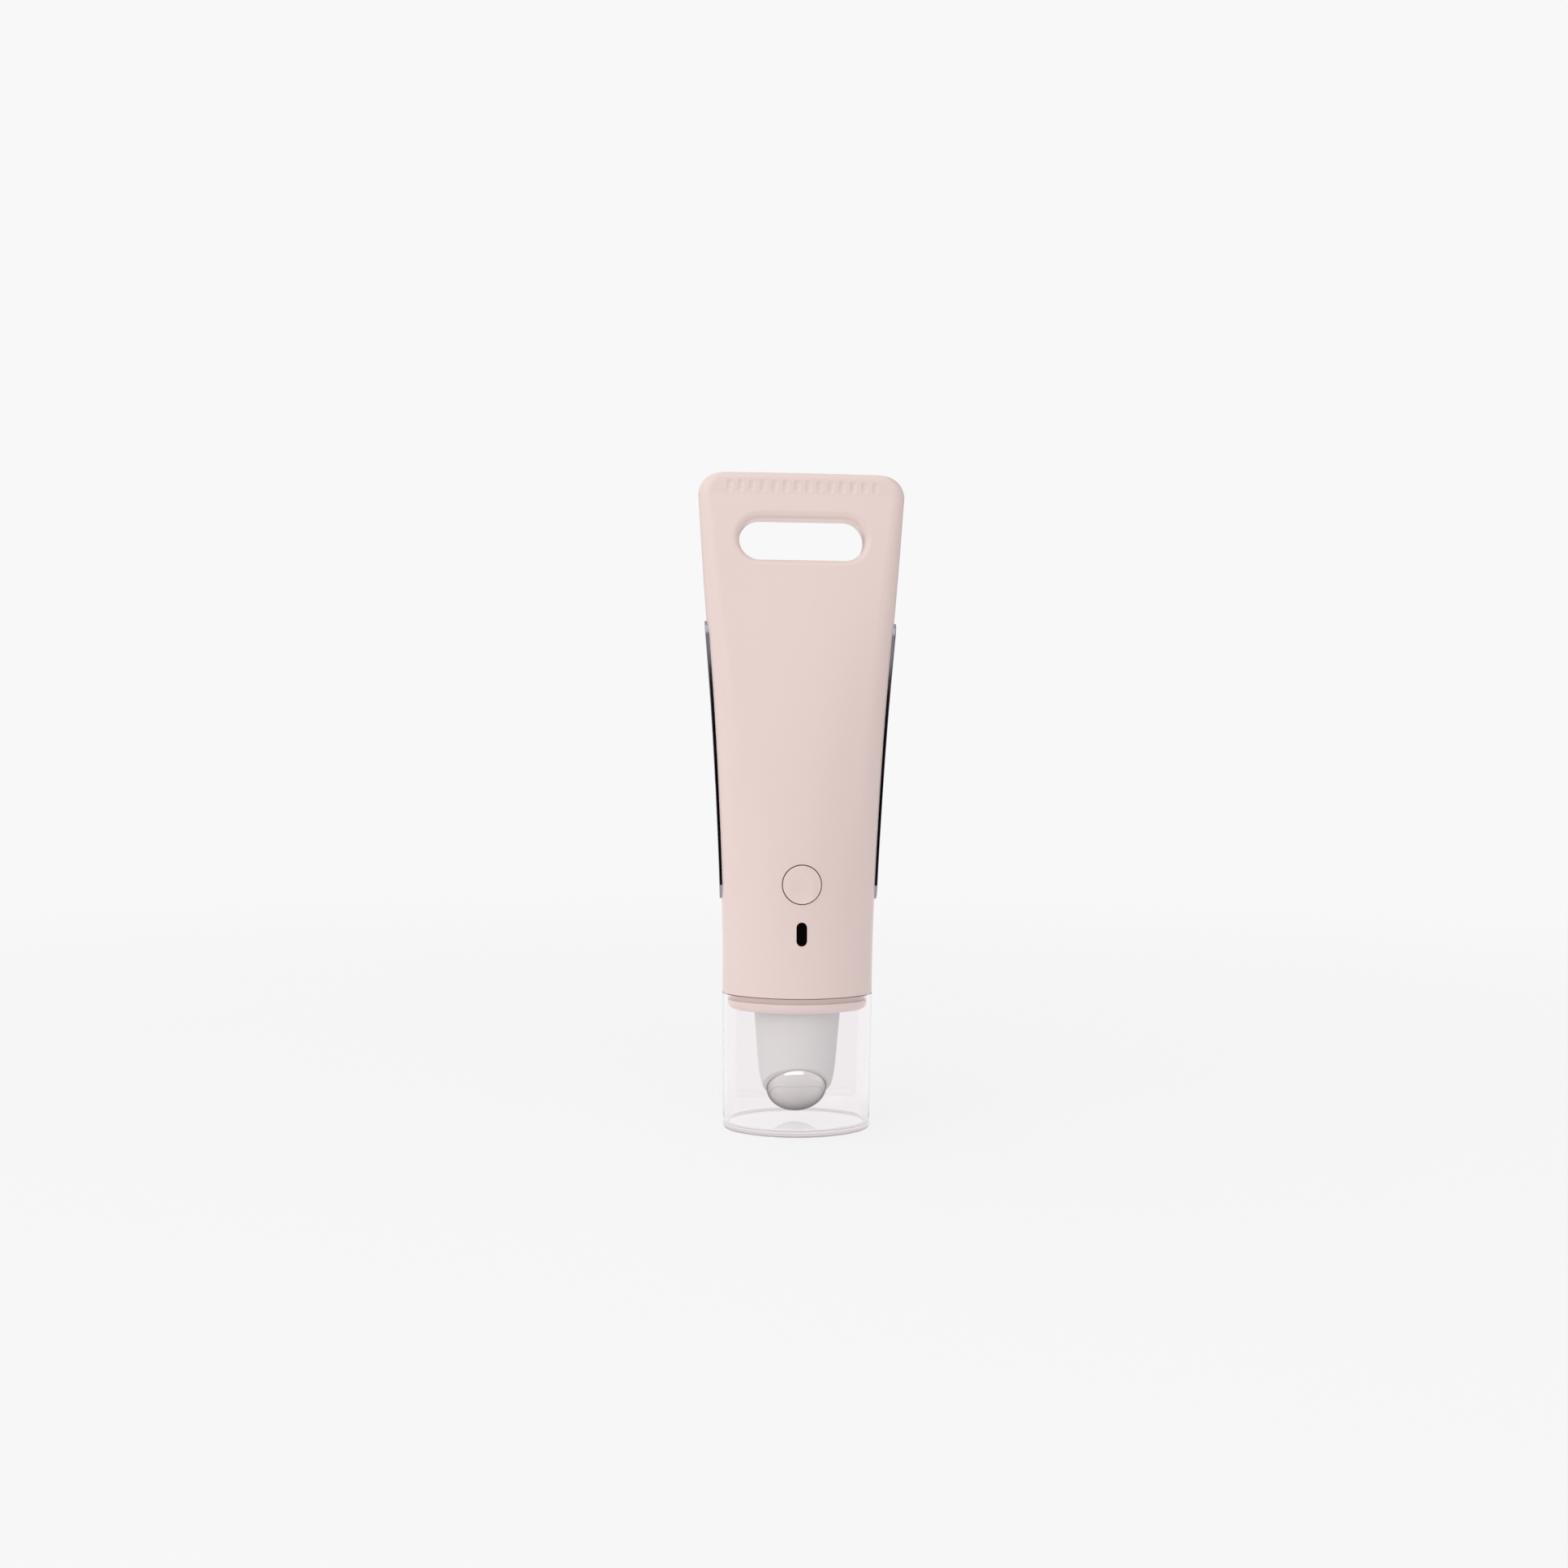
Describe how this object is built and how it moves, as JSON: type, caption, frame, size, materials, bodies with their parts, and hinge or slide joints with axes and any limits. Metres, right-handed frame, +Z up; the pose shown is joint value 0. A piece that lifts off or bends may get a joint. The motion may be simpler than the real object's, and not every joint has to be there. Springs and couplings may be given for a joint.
{
  "type": "eye massager",
  "caption": "Tube-shaped handheld eye massager with a slanted metal massage tip, push button, side electrode strips, finger slot and a clear pull-off cap that it stands on.",
  "frame": {"origin": "middle of the cap's foot, on the surface that the massager stands on", "axes": "+Z up the tube towards the finger slot, -Y out of the button side, +X to the right seen from the front"},
  "size_m": [0.042, 0.022, 0.132],
  "materials": {
    "pink_abs": "glossy moulded ABS",
    "clear_styrene": "clear moulded styrene",
    "silver_abs": "satin silver-grey moulded ABS",
    "polished_metal": "polished zinc alloy, plated",
    "plated_strip": "bright plated strip",
    "smoked_acrylic": "smoked acrylic light guide",
    "seal_rubber": "moulded silicone rubber",
    "steel": "plated steel",
    "heater_film": "polyimide film",
    "motor_steel": "drawn steel can",
    "tungsten": "sintered heavy alloy",
    "circuit_board": "solder mask on glass epoxy",
    "chip_epoxy": "moulded epoxy",
    "switch_nylon": "moulded nylon",
    "lamp_epoxy": "clear lamp epoxy over phosphor",
    "socket_nylon": "moulded nylon",
    "contact_bronze": "spring bronze",
    "cell_pouch": "aluminium laminate pouch",
    "foam": "closed-cell foam",
    "lead_red": "silicone insulated wire"
  },
  "bodies": {
    "handle": {"front_shell": "pink_abs", "rear_shell": "pink_abs", "neck_collar": "pink_abs", "head_barrel": "silver_abs", "massage_tip": "polished_metal", "right_electrode": "plated_strip", "left_electrode": "plated_strip", "indicator_lens": "smoked_acrylic", "head_gasket": "seal_rubber", "head_screws": "steel", "tip_heater": "heater_film", "motor_can": "motor_steel", "motor_boot": "seal_rubber", "main_board": "circuit_board", "board_screws": "steel", "board_components": "chip_epoxy", "switch_body": "switch_nylon", "indicator_lamps": "lamp_epoxy", "socket_shell": "steel", "socket_tongue": "socket_nylon", "electrode_contacts": "contact_bronze", "battery_cell": "cell_pouch", "cell_guard": "circuit_board", "battery_pads": "foam", "battery_leads": "lead_red", "motor_leads": "lead_red", "tip_leads": "lead_red"},
    "button": {"button_cap": "pink_abs", "switch_plunger": "switch_nylon"},
    "cap": {"clear_cap": "clear_styrene"},
    "rotor": {"motor_shaft": "steel", "motor_weight": "tungsten"}
  },
  "joints": [
    {"name": "button_press", "type": "slide", "parent": "handle", "child": "button", "axis": [0, 1, 0], "range_m": [0, 0.0004], "stiffness_N_per_m": 1500},
    {"name": "cap_pull", "type": "slide", "parent": "handle", "child": "cap", "axis": [0, 0, -1], "range_m": [0, 0.04]},
    {"name": "rotor_spin", "type": "hinge", "parent": "handle", "child": "rotor", "pos_m": [0, 0, 0.016], "axis": [0, 0, 1], "continuous": true}
  ]
}
